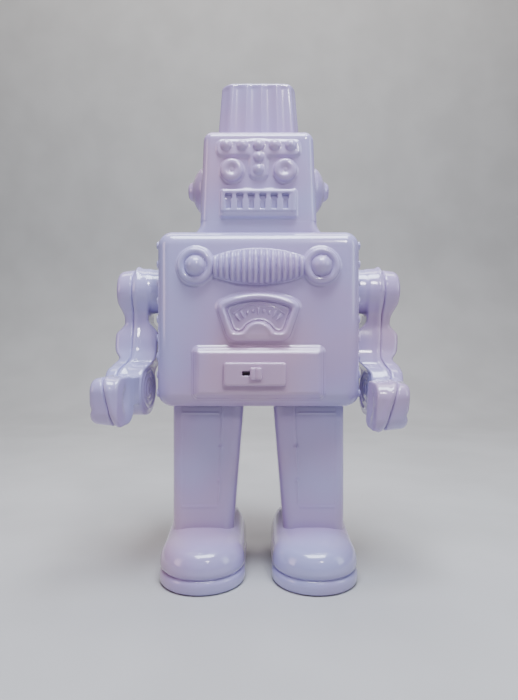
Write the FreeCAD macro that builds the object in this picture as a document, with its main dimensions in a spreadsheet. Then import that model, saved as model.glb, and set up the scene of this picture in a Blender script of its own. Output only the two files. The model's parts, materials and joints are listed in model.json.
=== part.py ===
"""Walking toy robot, 300 mm tall: moulded casings round a geared drive that swings the legs and the arms.

Millimetres. +Z is up and the robot faces -Y, so its left side is at +X. Every sub-part is drawn in a frame
whose Y zero is the middle of the torso, and its Placement then carries it back by body_y, to the row frame,
whose origin lies on the floor under the middle of the whole object.
"""

import FreeCAD, Part
import math
import os
import re

import Sketcher
from FreeCAD import Placement, Rotation, Vector

DIMENSIONS = {
    # whole object
    "body_y": 13.88, "wall": 2.2, "gap": 0.3,
    # torso box
    "torso_w": 120.0, "torso_d": 72.0, "torso_z": 101.0, "torso_h": 104.0, "torso_edge": 9.0,
    "boss_x": 50.5, "boss_low": 113.0, "boss_high": 194.0, "boss_rad": 4.0, "screw_rad": 1.5,
    "rivet_rad": 2.4, "rivet_rise": 1.3, "rivet_y": 27.0, "rivet_low": 109.0, "rivet_pitch": 11.0, "rivets": 9,
    # neck, head and hat
    "neck_h": 6.0, "neck_flare": 3.6, "head_w_low": 70.6, "head_w_top": 64.6, "head_d": 58.0, "head_h": 55.0,
    "head_edge": 5.5, "hat_w_low": 52.0, "hat_w_top": 47.2, "hat_d": 34.0, "hat_h": 34.0, "hat_corner": 9.0,
    "hat_edge": 2.4, "flute_rad": 5.6, "flute_depth": 1.1, "flute_pitch": 9.4, "ear_z": 237.3, "ear_rad": 15.4,
    "ear_t": 8.6, "ear_knob_rad": 5.9, "ear_knob_rise": 3.2,
    # face
    "eye_x": 15.8, "eye_z": 241.2, "eye_rad": 6.8, "eye_rise": 3.2, "lens_rad": 3.4,
    "brow_w": 49.0, "brow_z": 254.6, "brow_h": 8.6, "nose_w": 10.4, "nose_low": 236.6, "brow_t": 1.8,
    "mouth_w": 44.8, "mouth_h": 16.4, "mouth_z": 220.6, "mouth_t": 3.4, "slot_w": 3.7, "slot_h": 8.8,
    "slot_pitch": 6.75, "slots": 6,
    # chest
    "lamp_x": 36.6, "lamp_z": 183.5, "lamp_rad": 10.8, "lamp_t": 4.6, "lamp_lens_rad": 6.4,
    "grille_w": 51.0, "grille_z": 183.2, "grille_h": 20.4, "grille_sink": 3.0, "grille_taper": 0.4,
    "grille_ribs": 15, "rib_w": 2.5,
    "gauge_w": 47.6, "gauge_foot_w": 33.0, "gauge_z": 139.2, "gauge_side_h": 21.5, "gauge_rise": 7.4,
    "gauge_t": 4.2, "gauge_rim": 5.2, "dial_t": 1.6,
    "panel_w": 75.4, "panel_z": 106.8, "panel_h": 29.4, "panel_t": 5.2, "panel_edge": 2.6,
    "plate_x": -2.0, "plate_w": 35.6, "plate_z": 114.2, "plate_h": 13.6, "plate_t": 3.8, "plate_edge": 1.6,
    "lever_w": 3.0, "lever_h": 1.8, "lever_z": 121.4, "lever_x": -1.3, "lever_rise": 3.2, "lever_travel": 6.0,
    "knob_w": 7.0, "knob_h": 7.2,
    # drive frame and gears
    "hip_z": 113.0, "crank_z": 143.0, "shoulder_z": 172.4, "axle_rad": 3.0, "shaft_rad": 1.5, "run_fit": 0.05,
    "frame_x": 19.5, "frame_t": 1.5, "frame_front": -30.0, "frame_low": 107.5,
    "frame_top": 168.0, "gear_module": 0.5, "wheel_teeth": 42, "pinion_teeth": 12, "mesh_play": 0.2,
    "wheel_t": 3.0, "second_angle": 135.0, "first_angle": 219.7, "motor_angle": 258.0,
    "crank_throw": 2.2, "crank_rad": 7.0, "crank_pin_rad": 1.5, "motor_rad": 9.5, "motor_l": 24.0,
    # batteries and door
    "box_w": 54.0, "box_z": 117.0, "box_h": 62.0, "box_front": 16.8, "box_t": 1.5,
    "cell_rad": 7.25, "cell_l": 50.5, "cell_pitch": 16.5, "door_w": 50.0, "door_z": 120.0, "door_h": 56.0,
    "hinge_y": 34.9, "hinge_z": 121.2, "hinge_rad": 0.8,
    # leg and foot
    "leg_in_top": 9.0, "leg_in_low": 15.5, "leg_out": 52.5, "leg_top": 101.5, "leg_low": 20.0,
    "leg_front": 23.0, "leg_back": 21.0, "leg_edge": 6.5, "foot_x": 33.0, "foot_w": 50.4, "toe_y": -56.0,
    "heel_y": 34.0, "sole_t": 9.0, "shoe_top": 33.0, "shoe_edge": 13.0,
    "roller_rad": 6.0, "roller_w": 7.0, "roller_x": 12.5, "front_roller_y": -33.0, "rear_roller_y": 13.0,
    "yoke_x": 28.0, "yoke_t": 1.5, "yoke_w": 18.0, "yoke_low": 62.0, "yoke_top": 161.5, "window": 12.8,
    "drive_pin_z": 157.5,
    # arm
    "arm_mid_x": 81.8, "arm_half_t": 11.0, "shoulder_rad": 14.4, "arm_wall": 2.4,
    "elbow_y": 2.0, "elbow_z": 140.5, "elbow_rad": 13.0, "wrist_y": -15.0, "wrist_z": 111.0, "wrist_rad": 16.0,
    "claw_y": -50.5, "claw_z": 104.5, "claw_rad": 14.5, "jaw_line": 2.0, "jaw_depth": 1.2, "dimple_rad": 1.1,
    "ring_rise": 0.8,
    "sleeve_in": 60.6,
}

doc = FreeCAD.newDocument("walking_robot")
sheet = doc.addObject("Spreadsheet::Sheet", "dims")
for row, (alias, value) in enumerate(DIMENSIONS.items(), start=1):
    sheet.set(f"A{row}", alias)
    sheet.set(f"B{row}", str(value))
    sheet.setAlias(f"B{row}", alias)
doc.recompute()

SUBPARTS = []


# ---------------------------------------------------------------- helpers
def size(alias):
    """The value of one cell."""
    return float(sheet.get(alias))


def formula(text):
    """An expression on the sheet: every alias in the text gets the sheet's name."""
    return re.sub(r"[a-z_]+", lambda m: "dims." + m[0] if m[0] in DIMENSIONS else m[0], str(text))


def bind(thing, **formulas):
    for prop, text in formulas.items():
        thing.setExpression(prop.replace("__", "."), formula(text))
    return thing


def move(thing, x=0, y=0, z=0):
    return bind(thing, Placement__Base__x=x, Placement__Base__y=y, Placement__Base__z=z)


def subpart(label, thing):
    """Names a finished sub-part and carries it from the drawing frame to the row frame."""
    thing.Label = label
    drawn = {path.lstrip("."): text for path, text in thing.ExpressionEngine}.get("Placement.Base.y", "0")
    thing.setExpression("Placement.Base.y", f"{drawn} + dims.body_y")
    SUBPARTS.append(thing)
    return thing


def mirrored(label, source):
    """The same sub-part on the robot's other side."""
    copy = doc.addObject("Part::Mirroring", "mirror")
    copy.Source = source
    copy.Normal = Vector(1, 0, 0)
    copy.Label = label
    SUBPARTS.append(copy)
    return copy


def box(x, y, z):
    """A block between (low, high) limits on each axis."""
    block = doc.addObject("Part::Box", "block")
    bind(block, Length=f"({x[1]}) - ({x[0]})", Width=f"({y[1]}) - ({y[0]})", Height=f"({z[1]}) - ({z[0]})")
    return move(block, x[0], y[0], z[0])


TURN = {
    "x": Rotation(Vector(0, 1, 0), 90),
    "y": Rotation(Vector(1, 0, 0), -90),
    "z": Rotation(),
}


def rod(axis, radius, span, at, kind="Part::Cylinder", end_radius=None):
    """A cylinder or cone along an axis: its (low, high) limits and its place on the other two axes."""
    piece = doc.addObject(kind, "rod")
    piece.Placement = Placement(Vector(), TURN[axis])
    bind(piece, Height=f"({span[1]}) - ({span[0]})")
    if kind == "Part::Cone":
        bind(piece, Radius1=radius, Radius2=end_radius)
    else:
        bind(piece, Radius=radius)
    others = iter(at)
    place = {a: (span[0] if a == axis else next(others)) for a in "xyz"}
    return move(piece, **place)


def cap(axis, side, radius, rise, centre):
    """A shallow dome on a flat face: the middle of its foot, and the way it bulges along the axis."""
    sphere = doc.addObject("Part::Sphere", "sphere")
    bind(sphere, Radius=f"(({radius}) ^ 2 + ({rise}) ^ 2) / (2 * ({rise}))")
    sunk = f"(({radius}) ^ 2 - ({rise}) ^ 2) / (2 * ({rise}))"
    place = dict(zip("xyz", centre))
    keep = {a: (f"{place[a]} - ({radius}) - 1", f"{place[a]} + ({radius}) + 1") for a in "xyz"}
    if side > 0:
        keep[axis] = (place[axis], f"{place[axis]} + ({rise}) + 1")
    else:
        keep[axis] = (f"{place[axis]} - ({rise}) - 1", place[axis])
    place[axis] = f"{place[axis]} - ({side}) * ({sunk})"
    move(sphere, **place)
    return common(sphere, box(keep["x"], keep["y"], keep["z"]))


def fuse(*pieces):
    joined = doc.addObject("Part::MultiFuse", "fuse")
    joined.Shapes = list(pieces)
    return joined


def group(*pieces):
    """Separate solids that share one node."""
    bundle = doc.addObject("Part::Compound", "group")
    bundle.Links = list(pieces)
    return bundle


def cut(base, *tools):
    result = doc.addObject("Part::Cut", "cut")
    result.Base = base
    result.Tool = tools[0] if len(tools) == 1 else fuse(*tools)
    return result


def common(one, other):
    result = doc.addObject("Part::Common", "common")
    result.Base = one
    result.Tool = other
    return result


def origin_feature(body, role):
    return next(f for f in body.Origin.OriginFeatures if f.Role == role)


def sketch_on(body, role, points, arc_top=None):
    """A closed outline through (u, v) formulas. arc_top is the rise of an arc in place of the last side."""
    sketch = body.newObject("Sketcher::SketchObject", "outline")
    sketch.AttachmentSupport = [(origin_feature(body, role), "")]
    sketch.MapMode = "FlatFace"
    values = [(sheet.evalExpression(formula(u)), sheet.evalExpression(formula(v))) for u, v in points]
    corners = [Vector(float(u), float(v), 0) for u, v in values]
    last = len(corners) - 1
    for i, corner in enumerate(corners):
        following = corners[(i + 1) % len(corners)]
        if i == last and arc_top is not None:
            middle = (corner + following) / 2 + Vector(0, float(sheet.evalExpression(formula(arc_top))), 0)
            sketch.addGeometry(Part.Arc(corner, middle, following))
        else:
            sketch.addGeometry(Part.LineSegment(corner, following))
    for i, (u, v) in enumerate(points):
        if i != last:
            sketch.addConstraint(Sketcher.Constraint("Coincident", i, 2, i + 1, 1))
    if arc_top is None:
        sketch.addConstraint(Sketcher.Constraint("Coincident", last, 2, 0, 1))
    for i, (u, v) in enumerate(points):
        vertex = (i, 1) if not (i == last and arc_top is not None) else (i - 1, 2)
        for kind, text, value in (("DistanceX", u, corners[i].x), ("DistanceY", v, corners[i].y)):
            index = sketch.addConstraint(Sketcher.Constraint(kind, -1, 1, *vertex, value))
            sketch.setExpression(f"Constraints[{index}]", formula(text))
    return sketch


def pad(body, sketch, length, back=False):
    feature = body.newObject("PartDesign::Pad", "pad")
    feature.Profile = sketch
    feature.Reversed = back
    bind(feature, Length=length)
    doc.recompute()
    return feature


def fillet(body, feature, radius, chosen):
    """Rounds the edges of the last feature that the test picks."""
    names = [f"Edge{i}" for i, edge in enumerate(feature.Shape.Edges, start=1) if chosen(edge)]
    rounding = body.newObject("PartDesign::Fillet", "rounding")
    rounding.Base = (feature, names)
    bind(rounding, Radius=radius)
    body.Tip = rounding
    doc.recompute()
    return rounding


def off_seam(edge):
    """Edges of a half casing that don't lie on its seam, the plane Y = 0."""
    return not all(abs(v.Y) < 1e-6 for v in edge.Vertexes)


def upright(edge):
    """The same, without the edges that run level."""
    return off_seam(edge) and abs(edge.BoundBox.ZLength) > 1.0 and abs(edge.BoundBox.YLength) < 1.0


def block_half(points, depth, radius, back=False, chosen=off_seam):
    """Half a rounded block: an outline on the XZ plane, padded to the front or the back."""
    body = doc.addObject("PartDesign::Body", "half")
    feature = pad(body, sketch_on(body, "XZ_Plane", points), depth, back)
    if radius:
        fillet(body, feature, radius, chosen)
    return body


def frame_outline(width_low, width_top, low, high):
    """A symmetric outline: its two widths and its two heights."""
    return [
        (f"-({width_low}) / 2", low),
        (f"({width_low}) / 2", low),
        (f"({width_top}) / 2", high),
        (f"-({width_top}) / 2", high),
    ]


# ---------------------------------------------------------------- torso
def torso_half(back):
    low, high = "torso_z", "torso_z + torso_h"
    outer = block_half(frame_outline("torso_w", "torso_w", low, high), "torso_d / 2", "torso_edge", back)
    inner_w = "(torso_w - 2 * wall)"
    inner = block_half(
        frame_outline(inner_w, inner_w, "torso_z + wall", "torso_z + torso_h - wall"),
        "torso_d / 2 - wall", "torso_edge - wall", back,
    )
    return cut(outer, inner)


def leg_openings():
    """The two openings in the torso floor that the legs swing in."""
    spans = [("leg_in_top - 1.5", "leg_out + 1.5"), ("-leg_out - 1.5", "1.5 - leg_in_top")]
    depth = ("-leg_front - 4", "leg_back + 4")
    return [box(span, depth, ("torso_z - 1", "torso_z + wall + 0.5")) for span in spans]


def shell_openings():
    shoulder = rod("x", "axle_rad + 4.2", ("-torso_w / 2 - 1", "torso_w / 2 + 1"), (0, "shoulder_z"))
    wire_hole = rod("z", 9, ("torso_z + torso_h - wall - 1", "torso_z + torso_h + 1"), (0, 0))
    return [shoulder, wire_hole, *leg_openings()]


def boss_places():
    return [(f"{side} * boss_x", height) for side in (-1, 1) for height in ("boss_low", "boss_high")]


def torso_front_shell():
    posts = [rod("y", "boss_rad", ("-torso_d / 2 + wall / 2", 0), at) for at in boss_places()]
    holes = [rod("y", "screw_rad", (-14, 0), at) for at in boss_places()]
    track = lever_track(f"{CHEST} - 1", f"{CHEST} + wall + 1")
    shell = cut(torso_half(False), *shell_openings(), track)
    return subpart("torso_front_shell", cut(fuse(shell, *posts), *holes))


def torso_back_shell():
    posts = [rod("y", "boss_rad", (0, "torso_d / 2 - wall / 2"), at) for at in boss_places()]
    holes = [rod("y", "screw_rad + 0.1", (-1, "torso_d / 2 + 1"), at) for at in boss_places()]
    sinks = [rod("y", "screw_rad + 1.9", ("torso_d / 2 - 3", "torso_d / 2 + 1"), at) for at in boss_places()]
    door_hole = box(
        ("-door_w / 2 - gap", "door_w / 2 + gap"),
        ("torso_d / 2 - wall - 1", "torso_d / 2 + 1"),
        ("door_z - 2 * gap", "door_z + door_h + gap"),
    )
    reach = ("-door_w / 2 - 2.2", "door_w / 2 + 2.2")
    hinge_hole = rod("x", "hinge_rad + run_fit", reach, ("hinge_y", "hinge_z"))
    shell = cut(torso_half(True), *shell_openings(), door_hole, hinge_hole)
    return subpart("torso_back_shell", cut(fuse(shell, *posts), *holes, *sinks))


def shell_screws():
    screws = []
    for at in boss_places():
        shank = rod("y", "screw_rad", (-13, "torso_d / 2 - 3"), at)
        head = rod("y", "screw_rad + 1.6", ("torso_d / 2 - 3", "torso_d / 2 - 0.8"), at)
        drive = box((f"{at[0]} - 1.8", f"{at[0]} + 1.8"), ("torso_d / 2 - 1.6", "torso_d / 2"),
                    (f"{at[1]} - 0.35", f"{at[1]} + 0.35"))
        screws.append(cut(fuse(shank, head), drive))
    return subpart("shell_screws", group(*screws))


def side_rivets():
    """Two columns of rivet heads on each side of the torso, near its edges."""
    heads = []
    for side in (-1, 1):
        for column in (-1, 1):
            for i in range(int(size("rivets"))):
                centre = (f"{side} * torso_w / 2", f"{column} * rivet_y", f"rivet_low + {i} * rivet_pitch")
                heads.append(cap("x", side, "rivet_rad", "rivet_rise", centre))
    return subpart("side_rivets", group(*heads))


# ---------------------------------------------------------------- neck, head and hat
NECK_TOP = "torso_z + torso_h + neck_h"
HEAD_TOP = "torso_z + torso_h + neck_h + head_h"


def neck_collar():
    """A flared skirt between the torso and the head, open for the lamp lead."""
    low = "torso_z + torso_h"
    flared = "(head_w_low + 2 * neck_flare)"
    halves = [
        block_half(frame_outline(flared, "head_w_low", low, NECK_TOP), "head_d / 2", 0, back)
        for back in (False, True)
    ]
    bore = rod("z", 20, (f"{low} - 1", f"{NECK_TOP} + 1"), (0, 0))
    return subpart("neck_collar", cut(fuse(*halves), bore))


def head_half(label, back, *tools):
    outline = frame_outline("head_w_low", "head_w_top", NECK_TOP, HEAD_TOP)
    outer = block_half(outline, "head_d / 2", "head_edge", back)
    widths = ("(head_w_low - 2 * wall)", "(head_w_top - 2 * wall)")
    outline = frame_outline(*widths, f"{NECK_TOP} + wall", f"{HEAD_TOP} - wall")
    inner = block_half(outline, "head_d / 2 - wall", "head_edge - wall", back)
    lead_hole = rod("z", 9, (f"{NECK_TOP} - 1", f"{NECK_TOP} + wall + 1"), (0, 0))
    lamp_hole = rod("z", 7, (f"{HEAD_TOP} - wall - 1", f"{HEAD_TOP} + 1"), (0, 0))
    return subpart(label, cut(cut(outer, inner), lead_hole, lamp_hole, *tools))


def on_top(edge):
    """The rim round a half casing's highest face, without the edge on its seam."""
    top = sum(size(name) for name in ("torso_z", "torso_h", "neck_h", "head_h", "hat_h"))
    return off_seam(edge) and abs(edge.BoundBox.ZMin - top) < 0.01


def hat_half(inset, top, back):
    """Half a tapered cap with a flat front and rounded corners."""
    outline = frame_outline(f"(hat_w_low - 2 * {inset})", f"(hat_w_top - 2 * {inset})", HEAD_TOP, top)
    return block_half(outline, f"hat_d / 2 - {inset}", f"hat_corner - {inset}", back, upright)


def hat_flutes():
    """Where the flutes stand round the cap's foot: a point on its outline and the way out from it."""
    half_w, half_d, corner = size("hat_w_low") / 2, size("hat_d") / 2, size("hat_corner")
    pitch, slant = size("flute_pitch"), math.sqrt(0.5)
    places = []
    for side in (-1, 1):
        places += [(i * pitch, side * half_d, 0, side) for i in (-1.5, -0.5, 0.5, 1.5)]
        places += [(side * half_w, i * pitch, side, 0) for i in (-0.45, 0.45)]
        for end in (-1, 1):
            reach = corner * (slant - 1)
            places.append((side * (half_w + reach), end * (half_d + reach), side * slant, end * slant))
    return places


def hat_cap():
    """A hollow tapered cap with upright flutes all the way round."""
    top = f"{HEAD_TOP} + hat_h"
    halves = [hat_half("0", top, back) for back in (False, True)]
    for half in halves:
        fillet(half, half.Tip, "hat_edge", on_top)
    inset = "(flute_depth + wall)"
    hollow = [hat_half(inset, f"{top} - wall", back) for back in (False, True)]
    taper = math.degrees(math.atan2((size("hat_w_low") - size("hat_w_top")) / 2, size("hat_h")))
    out = size("flute_rad") - size("flute_depth")
    cutters = []
    for x, y, out_x, out_y in hat_flutes():
        cutter = doc.addObject("Part::Cylinder", "flute")
        bind(cutter, Radius="flute_rad", Height="hat_h + 8")
        lean = -taper * x / (size("hat_w_low") / 2)
        cutter.Placement = Placement(Vector(), Rotation(Vector(0, 1, 0), lean))
        cutters.append(move(cutter, x + out * out_x, y + out * out_y, f"{HEAD_TOP} - 2"))
    return subpart("hat_cap", cut(fuse(*halves), *hollow, *cutters))


def ear(side):
    base = f"({side} * (head_w_low + head_w_top) / 4)"
    tip = f"{base} + {side} * ear_t"
    span = (base, tip) if side > 0 else (tip, base)
    disc = rod("x", "ear_rad", span, (0, "ear_z"))
    seat = block_half(frame_outline("head_w_low", "head_w_top", NECK_TOP, HEAD_TOP), "head_d / 2", 0)
    other = block_half(frame_outline("head_w_low", "head_w_top", NECK_TOP, HEAD_TOP), "head_d / 2", 0, True)
    return cut(disc, seat, other)


def ear_knob(side):
    base = f"({side} * ((head_w_low + head_w_top) / 4 + ear_t))"
    tip = f"{base} + {side} * ear_knob_rise"
    return rod("x", "ear_knob_rad", (base, tip) if side > 0 else (tip, base), (0, "ear_z"))


def lamp():
    holder = cut(
        rod("z", 7, (f"{HEAD_TOP} - 6", f"{HEAD_TOP} + 5"), (0, 0)),
        rod("z", 3.5, (f"{HEAD_TOP} - 2", f"{HEAD_TOP} + 6"), (0, 0)),
    )
    subpart("lamp_holder", holder)
    stem = rod("z", 3.4, (f"{HEAD_TOP} - 2", f"{HEAD_TOP} + 10"), (0, 0))
    globe = doc.addObject("Part::Sphere", "globe")
    bind(globe, Radius=5)
    subpart("lamp_bulb", fuse(stem, move(globe, 0, 0, f"{HEAD_TOP} + 12")))


# ---------------------------------------------------------------- face
FACE = "-head_d / 2"


def brow_plate():
    """A riveted band over the eyes with a strip down the nose."""
    depth = (f"{FACE} - brow_t", FACE)
    band = box(("-brow_w / 2", "brow_w / 2"), depth, ("brow_z - brow_h / 2", "brow_z + brow_h / 2"))
    nose = box(("-nose_w / 2", "nose_w / 2"), depth, ("nose_low", "brow_z"))
    spots = [(f"{i} * 9.4", "brow_z + 1") for i in range(-2, 3)] + [(0, "brow_z - 6"), (0, "brow_z - 13")]
    heads = [cap("y", -1, "2.9", "1.6", (x, f"{FACE} - brow_t", z)) for x, z in spots]
    return subpart("brow_plate", fuse(band, nose, *heads))


def eye_rings():
    rings = []
    for side in (-1, 1):
        at = (f"{side} * eye_x", "eye_z")
        rings.append(cut(rod("y", "eye_rad", (f"{FACE} - eye_rise", FACE), at),
                         rod("y", "lens_rad + 0.1", (f"{FACE} - eye_rise - 1", f"{FACE} + 1"), at)))
    return subpart("eye_rings", group(*rings))


def eye_lenses():
    lenses = [rod("y", "lens_rad", (f"{FACE} - 2.2", FACE), (f"{side} * eye_x", "eye_z")) for side in (-1, 1)]
    return subpart("eye_lenses", group(*lenses))


def mouth_grille():
    plate = box(("-mouth_w / 2", "mouth_w / 2"), (f"{FACE} - mouth_t", FACE),
                ("mouth_z - mouth_h / 2 + 1.0", "mouth_z + mouth_h / 2 + 1.0"))
    count = int(size("slots"))
    slots = []
    for i in range(count):
        centre = f"{i - (count - 1) / 2} * slot_pitch"
        across = (f"{centre} - slot_w / 2", f"{centre} + slot_w / 2")
        height = ("mouth_z + 1.6 - slot_h / 2", "mouth_z + 1.6 + slot_h / 2")
        slots.append(box(across, (f"{FACE} - mouth_t - 1", f"{FACE} - 0.6"), height))
    return subpart("mouth_grille", cut(plate, *slots))


# ---------------------------------------------------------------- chest
CHEST = "-torso_d / 2"


def chest_lamps():
    bezels, lenses = [], []
    for side in (-1, 1):
        at = (f"{side} * lamp_x", "lamp_z")
        bezels.append(cut(rod("y", "lamp_rad", (f"{CHEST} - lamp_t", CHEST), at),
                          rod("y", "lamp_lens_rad + 0.1", (f"{CHEST} - lamp_t - 1", f"{CHEST} + 1"), at)))
        lenses.append(fuse(rod("y", "lamp_lens_rad", (f"{CHEST} - lamp_t", CHEST), at),
                           cap("y", -1, "lamp_lens_rad", "3.4", (at[0], f"{CHEST} - lamp_t", at[1]))))
    subpart("chest_lamp_bezels", group(*bezels))
    subpart("chest_lamp_lenses", group(*lenses))


def chest_grille():
    """A ribbed spindle between the two chest lamps: discs on one axis, sunk into the chest by grille_sink."""
    count = int(size("grille_ribs"))
    ribs = []
    for i in range(count):
        place = f"({i - (count - 1) / 2} * grille_w / {count})"
        radius = f"grille_h / 2 * (1 - grille_taper * ({2 * i / (count - 1) - 1}) ^ 2)"
        span = (f"{place} - rib_w / 2", f"{place} + rib_w / 2")
        ribs.append(rod("x", radius, span, (f"{CHEST} + grille_sink", "grille_z")))
    core = rod("x", "grille_h / 2 * (1 - grille_taper) - 0.4", ("-grille_w / 2 + 0.6", "grille_w / 2 - 0.6"),
               (f"{CHEST} + grille_sink", "grille_z"))
    behind = box(("-grille_w", "grille_w"), (CHEST, f"{CHEST} + 20"), ("grille_z - 20", "grille_z + 20"))
    return subpart("chest_grille", cut(fuse(core, *ribs), behind))


def fan_outline(inset):
    """The gauge's outline: a foot, two leaning sides and an arched top."""
    half_foot, half_top = f"(gauge_foot_w / 2 - {inset})", f"(gauge_w / 2 - {inset})"
    low, high = f"gauge_z + {inset}", f"gauge_z + gauge_side_h - {inset} * 0.3"
    return [(f"-{half_top}", high), (f"-{half_foot}", low), (half_foot, low), (half_top, high)]


def fan(inset, length):
    body = doc.addObject("PartDesign::Body", "fan")
    pad(body, sketch_on(body, "XZ_Plane", fan_outline(inset), "gauge_rise"), length)
    return body


def gauge():
    block = fan("0", "torso_d / 2 + gauge_t")
    window = fan("gauge_rim", "torso_d / 2 + gauge_t + 1")
    behind = box(("-gauge_w", "gauge_w"), (CHEST, 1), ("gauge_z - 5", "gauge_z + 45"))
    subpart("gauge_bezel", cut(block, window, behind))
    dial = fan("(gauge_rim + 0.1)", "torso_d / 2 + dial_t")
    subpart("gauge_dial", cut(dial, box(("-gauge_w", "gauge_w"), (CHEST, 1), ("gauge_z - 5", "gauge_z + 45"))))


def rounded_plate(x, z, thickness, radius):
    """A plate standing on the chest with rounded corners and a rounded outer rim."""
    body = doc.addObject("PartDesign::Body", "plate")
    points = [(x[0], z[0]), (x[1], z[0]), (x[1], z[1]), (x[0], z[1])]
    feature = pad(body, sketch_on(body, "XZ_Plane", points), thickness)
    fillet(body, feature, radius, off_seam)
    return body


def control_panel():
    span = ("-panel_w / 2", "panel_w / 2")
    plate = rounded_plate(span, ("panel_z", "panel_z + panel_h"), "panel_t", "panel_edge")
    move(plate, 0, CHEST, 0)
    hollow = box(("-panel_w / 2 + 3", "panel_w / 2 - 3"), (f"{CHEST} - panel_t + 2.6", CHEST),
                 ("panel_z + 3", "panel_z + panel_h - 3"))
    return subpart("control_panel", cut(plate, hollow, lever_track(f"{CHEST} - panel_t - 1", f"{CHEST} + 1")))


def lever_track(front, back):
    return box(
        ("lever_x - lever_w / 2 - lever_travel - 0.5", "lever_x + lever_w / 2 + 0.5"),
        (front, back),
        ("lever_z - lever_h / 2 - 0.4", "lever_z + lever_h / 2 + 0.4"),
    )


def switch_plate():
    base = f"{CHEST} - panel_t"
    span = ("plate_x - plate_w / 2", "plate_x + plate_w / 2")
    plate = rounded_plate(span, ("plate_z", "plate_z + plate_h"), "plate_t", "plate_edge")
    move(plate, 0, base, 0)
    return subpart("switch_plate", cut(plate, lever_track(f"{base} - plate_t - 1", f"{base} + 1")))


def switch():
    """A knob on a flat stem that slides in the track, and the switch body behind the casing."""
    front = f"{CHEST} - panel_t - plate_t - lever_rise"
    knob = box(("lever_x - knob_w / 2", "lever_x + knob_w / 2"), (front, f"{front} + lever_rise - 0.3"),
               ("lever_z - knob_h / 2", "lever_z + knob_h / 2"))
    stem = box(("lever_x - lever_w / 2", "lever_x + lever_w / 2"), (f"{front} + 1", f"{CHEST} + wall + 1.5"),
               ("lever_z - lever_h / 2", "lever_z + lever_h / 2"))
    subpart("switch_lever", fuse(knob, stem))
    housing = box(("lever_x - 11", "lever_x + 7"), (f"{CHEST} + wall", f"{CHEST} + wall + 6"),
                  ("lever_z - 5", "lever_z + 5"))
    subpart("slide_switch_body", cut(housing, lever_track(f"{CHEST}", f"{CHEST} + wall + 2")))


# ---------------------------------------------------------------- drive
def gear_centres():
    """(y, z) of the crank, the second gear, the first gear and the motor, each in mesh with the one before."""
    reach = size("gear_module") * (size("wheel_teeth") + size("pinion_teeth")) / 2 + size("mesh_play")
    centres = [(0.0, size("crank_z"))]
    for alias in ("second_angle", "first_angle", "motor_angle"):
        angle = math.radians(size(alias))
        y, z = centres[-1]
        centres.append((y + reach * math.cos(angle), z + reach * math.sin(angle)))
    return centres


def toothed(teeth, x0, thickness, phase):
    """A spur gear about the X axis: a root disc, one tooth and its polar pattern."""
    body = doc.addObject("PartDesign::Body", "gear")
    disc = body.newObject("PartDesign::AdditiveCylinder", "disc")
    disc.Placement = Placement(Vector(), TURN["x"])
    pitch = f"({teeth} * gear_module / 2)"
    bind(disc, Radius=f"{pitch} - gear_module", Height=thickness)
    doc.recompute()
    root, tip = f"({pitch} - 1.2 * gear_module)", f"({pitch} + 0.8 * gear_module)"
    points = [(f"{half} * gear_module", root) for half in (-0.72, 0.72)]
    points += [(f"{half} * gear_module", tip) for half in (0.32, -0.32)]
    pad(body, sketch_on(body, "YZ_Plane", points), thickness)
    pattern = body.newObject("PartDesign::PolarPattern", "teeth")
    pattern.Originals = [body.Group[-2]]
    pattern.Axis = (origin_feature(body, "X_Axis"), [""])
    pattern.Angle = 360
    bind(pattern, Occurrences=teeth)
    body.Tip = pattern
    doc.recompute()
    body.Placement = Placement(Vector(), Rotation(Vector(1, 0, 0), phase))
    return move(body, x0, 0, 0)


def mesh_phase(driven_teeth, driven_phase, driver_teeth, direction):
    """The turn that puts the driver's gap on the driven gear's tooth. Teeth are drawn pointing at +Z."""
    steps = (direction - 90 - driven_phase) * driven_teeth / 360 + (direction + 90) * driver_teeth / 360 - 0.5
    return steps * 360 / driver_teeth


def drive_train():
    """The crank's wheel, two compound gears and the motor pinion, each turned so that its teeth mesh."""
    crank, second, first, motor = gear_centres()
    wheel, pinion = int(size("wheel_teeth")), int(size("pinion_teeth"))
    second_turn = mesh_phase(wheel, 0, pinion, size("second_angle"))
    first_turn = mesh_phase(wheel, 0, pinion, size("first_angle"))
    motor_turn = mesh_phase(wheel, 0, pinion, size("motor_angle"))

    crank_wheel = toothed("wheel_teeth", 4, "wheel_t", 0)
    shaft = rod("x", "shaft_rad + 0.5", ("-crank_rad - 17", "crank_rad + 17"), (0, 0))
    discs = []
    for side, up in ((-1, -1), (1, 1)):
        disc_span = (f"{side} * 24", f"{side} * 26.5") if side > 0 else (-26.5, -24)
        pin_span = (26.5, 31.5) if side > 0 else (-31.5, -26.5)
        discs.append(rod("x", "crank_rad", disc_span, (0, 0)))
        discs.append(rod("x", "crank_pin_rad", pin_span, (0, f"{up} * crank_throw")))
    place_gear("crank_shaft", fuse(shaft, crank_wheel, *discs), crank)

    place_gear("second_gear", fuse(
        toothed("pinion_teeth", 3.5, "wheel_t + 1", second_turn), toothed("wheel_teeth", -1.5, "wheel_t", 0),
        rod("x", "shaft_rad", ("frame_t - frame_x - 1", "frame_x - frame_t + 1"), (0, 0))), second)
    place_gear("first_gear", fuse(
        toothed("pinion_teeth", -2, "wheel_t + 1", first_turn), toothed("wheel_teeth", -7, "wheel_t", 0),
        rod("x", "shaft_rad", ("frame_t - frame_x - 1", "frame_x - frame_t + 1"), (0, 0))), first)
    place_gear("motor_pinion", fuse(
        toothed("pinion_teeth", -7.5, "wheel_t + 1", motor_turn), rod("x", 1, ("-frame_x - 2", -3), (0, 0))), motor)


def place_gear(label, thing, centre):
    thing.Label = label
    thing.Placement = Placement(Vector(0, centre[0] + size("body_y"), centre[1]), Rotation())
    SUBPARTS.append(thing)


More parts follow.
